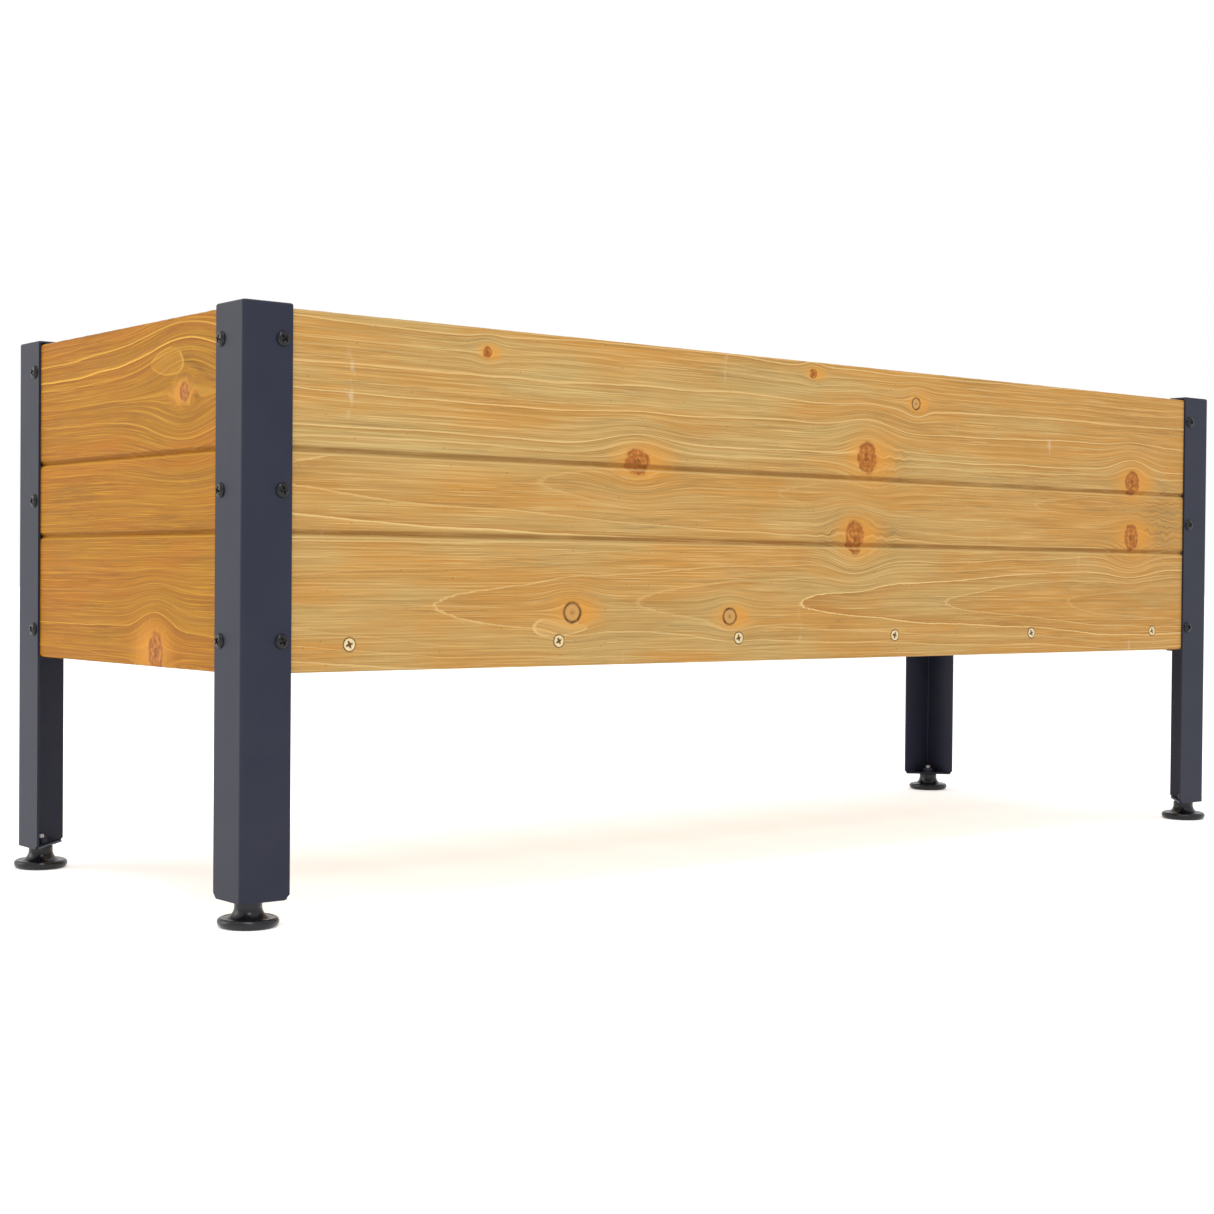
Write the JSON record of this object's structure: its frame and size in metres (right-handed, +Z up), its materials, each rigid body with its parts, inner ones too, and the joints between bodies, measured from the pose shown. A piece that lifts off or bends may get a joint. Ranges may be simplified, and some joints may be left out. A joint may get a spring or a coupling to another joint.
{
  "type": "raised planter box on legs",
  "caption": "Long raised wooden planter: grooved panels held by folded sheet-steel corner legs on screw-in levelling feet.",
  "frame": {"origin": "on the floor, under the middle of the box", "axes": "+X along the planter, -Y is the front, +Z is up"},
  "size_m": [1.1654, 0.4054, 0.446],
  "materials": {
    "powder_coat": "satin",
    "stained_wood": "oiled",
    "floor_wood": "raw",
    "black_screw": "satin",
    "yellow_zinc": "satin",
    "zinc": "satin",
    "foot_plastic": "satin"
  },
  "bodies": {
    "planter": {"leg_front_left": "powder_coat", "leg_front_right": "powder_coat", "leg_rear_left": "powder_coat", "leg_rear_right": "powder_coat", "foot_plate_front_left": "powder_coat", "foot_plate_front_right": "powder_coat", "foot_plate_rear_left": "powder_coat", "foot_plate_rear_right": "powder_coat", "panel_ledge_front_left": "powder_coat", "panel_ledge_front_right": "powder_coat", "panel_ledge_rear_left": "powder_coat", "panel_ledge_rear_right": "powder_coat", "foot_nuts": "powder_coat", "panel_front": "stained_wood", "panel_rear": "stained_wood", "panel_left": "stained_wood", "panel_right": "stained_wood", "floor_batten_front": "floor_wood", "floor_batten_rear": "floor_wood", "floor_slat_01": "floor_wood", "floor_slat_02": "floor_wood", "floor_slat_03": "floor_wood", "floor_slat_04": "floor_wood", "floor_slat_05": "floor_wood", "floor_slat_06": "floor_wood", "floor_slat_07": "floor_wood", "floor_slat_08": "floor_wood", "floor_slat_09": "floor_wood", "floor_slat_10": "floor_wood", "leg_screws": "black_screw", "batten_screws": "yellow_zinc", "slat_screws": "yellow_zinc"},
    "stud_front_left": {"foot_stud_front_left": "zinc"},
    "foot_front_left": {"foot_base_front_left": "foot_plastic"},
    "stud_front_right": {"foot_stud_front_right": "zinc"},
    "foot_front_right": {"foot_base_front_right": "foot_plastic"},
    "stud_rear_left": {"foot_stud_rear_left": "zinc"},
    "foot_rear_left": {"foot_base_rear_left": "foot_plastic"},
    "stud_rear_right": {"foot_stud_rear_right": "zinc"},
    "foot_rear_right": {"foot_base_rear_right": "foot_plastic"}
  },
  "joints": [
    {"name": "foot_turn_front_left", "type": "hinge", "parent": "stud_front_left", "child": "foot_front_left", "pos_m": [-0.5605, -0.1805, 0.01], "axis": [0, 0, 1], "range_deg": [0, 1800]},
    {"name": "stud_travel_front_left", "type": "slide", "parent": "planter", "child": "stud_front_left", "axis": [0, 0, -1], "range_m": [0, 0.005]},
    {"name": "foot_turn_front_right", "type": "hinge", "parent": "stud_front_right", "child": "foot_front_right", "pos_m": [0.5605, -0.1805, 0.01], "axis": [0, 0, 1], "range_deg": [0, 1800]},
    {"name": "stud_travel_front_right", "type": "slide", "parent": "planter", "child": "stud_front_right", "axis": [0, 0, -1], "range_m": [0, 0.005]},
    {"name": "foot_turn_rear_left", "type": "hinge", "parent": "stud_rear_left", "child": "foot_rear_left", "pos_m": [-0.5605, 0.1805, 0.01], "axis": [0, 0, 1], "range_deg": [0, 1800]},
    {"name": "stud_travel_rear_left", "type": "slide", "parent": "planter", "child": "stud_rear_left", "axis": [0, 0, -1], "range_m": [0, 0.005]},
    {"name": "foot_turn_rear_right", "type": "hinge", "parent": "stud_rear_right", "child": "foot_rear_right", "pos_m": [0.5605, 0.1805, 0.01], "axis": [0, 0, 1], "range_deg": [0, 1800]},
    {"name": "stud_travel_rear_right", "type": "slide", "parent": "planter", "child": "stud_rear_right", "axis": [0, 0, -1], "range_m": [0, 0.005]}
  ],
  "couplings": [
    {"joint": "stud_travel_front_left", "follows": "foot_turn_front_left", "m_per_rad": 0.00015915},
    {"joint": "stud_travel_front_right", "follows": "foot_turn_front_right", "m_per_rad": 0.00015915},
    {"joint": "stud_travel_rear_left", "follows": "foot_turn_rear_left", "m_per_rad": 0.00015915},
    {"joint": "stud_travel_rear_right", "follows": "foot_turn_rear_right", "m_per_rad": 0.00015915}
  ]
}
